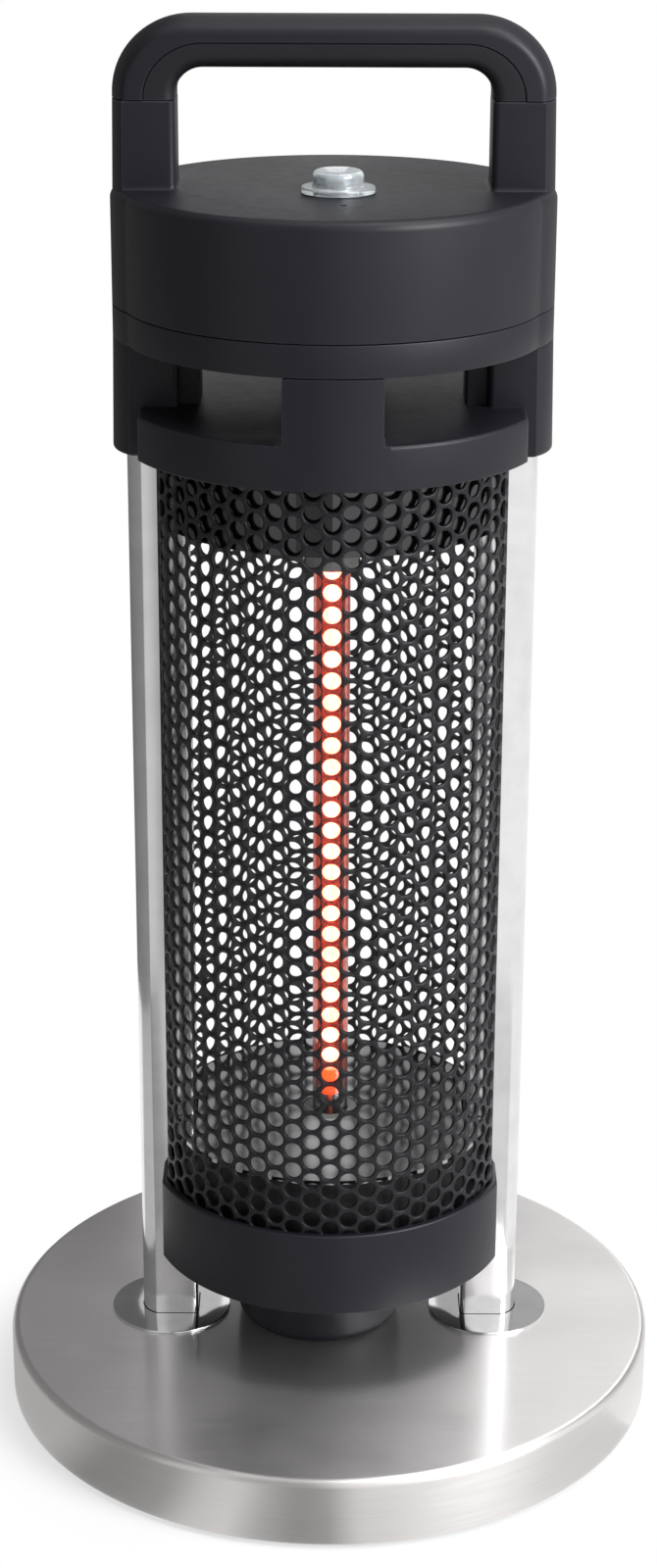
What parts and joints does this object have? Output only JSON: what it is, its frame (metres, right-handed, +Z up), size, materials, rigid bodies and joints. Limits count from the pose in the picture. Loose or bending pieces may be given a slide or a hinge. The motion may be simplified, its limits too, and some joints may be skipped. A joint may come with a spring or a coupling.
{
  "type": "infrared heater",
  "caption": "Free-standing infrared patio heater: weighted round steel base, two oval steel uprights, perforated guard round a vertical quartz lamp, and a vented black head with a carrying handle.",
  "frame": {"origin": "the point on the floor under the middle of the round base, which is also on the lamp's axis", "axes": "+Z up along the lamp, +X to the right and -Y to the front, as the picture shows the heater"},
  "size_m": [0.25, 0.25, 0.5276],
  "materials": {
    "black_plastic": "matt black heat-resistant moulding with a fine grain",
    "grip_plastic": "matt black grip moulding",
    "brushed_steel": "brushed stainless steel",
    "mirror_steel": "mirror-polished stainless steel",
    "satin_steel": "polished stainless steel tube",
    "reflector": "mirror-polished aluminium",
    "black_sheet": "black satin coating on perforated steel sheet",
    "black_paint": "matt black heat-resistant paint",
    "zinc_steel": "zinc-plated steel",
    "rubber": "matt black rubber",
    "concrete": "cast concrete",
    "quartz": "clear quartz, lit red by the element",
    "element": "glowing coiled element",
    "ceramic": "unglazed ceramic",
    "clear_boot": "clear flexible boot",
    "switch_metal": "bright metal",
    "terminal_plastic": "pale moulded plastic"
  },
  "bodies": {
    "heater": {"foot_front_left": "rubber", "foot_front_right": "rubber", "foot_rear_left": "rubber", "foot_rear_right": "rubber", "base_shell": "brushed_steel", "base_ballast": "concrete", "base_plate": "zinc_steel", "cord_inlet": "black_plastic", "tip_switch_body": "black_plastic", "escutcheon_left": "mirror_steel", "escutcheon_right": "mirror_steel", "upright_left": "satin_steel", "upright_right": "satin_steel", "upright_bolt_left": "zinc_steel", "upright_bolt_right": "zinc_steel", "neck": "black_plastic", "ring_lower": "black_plastic", "lamp_pod": "black_paint", "reflector_lower": "reflector", "lamp_cap_lower": "ceramic", "quartz_tube": "quartz", "lamp_element": "element", "lamp_cap_upper": "ceramic", "reflector_upper": "reflector", "lamp_bracket": "black_paint", "guard_front": "black_sheet", "guard_rear": "black_sheet", "head_housing": "black_plastic", "head_band": "black_plastic", "head_cap": "black_plastic", "handle_shell": "black_plastic", "handle_grip": "grip_plastic", "switch_body": "black_plastic", "switch_nut": "zinc_steel", "switch_boot": "clear_boot", "terminal_block": "terminal_plastic"},
    "power_button": {"power_button": "switch_metal"},
    "tip_switch_pin": {"tip_switch_pin": "switch_metal"}
  },
  "joints": [
    {"name": "power_button_press", "type": "slide", "parent": "heater", "child": "power_button", "axis": [0, 0, -1], "range_m": [0, 0.0018], "stiffness_N_per_m": 900, "deforming": ["switch_boot"]},
    {"name": "tip_switch_slide", "type": "slide", "parent": "heater", "child": "tip_switch_pin", "axis": [0, 0, -1], "range_m": [0, 0.0035], "stiffness_N_per_m": 80, "springref_m": 0.006}
  ]
}
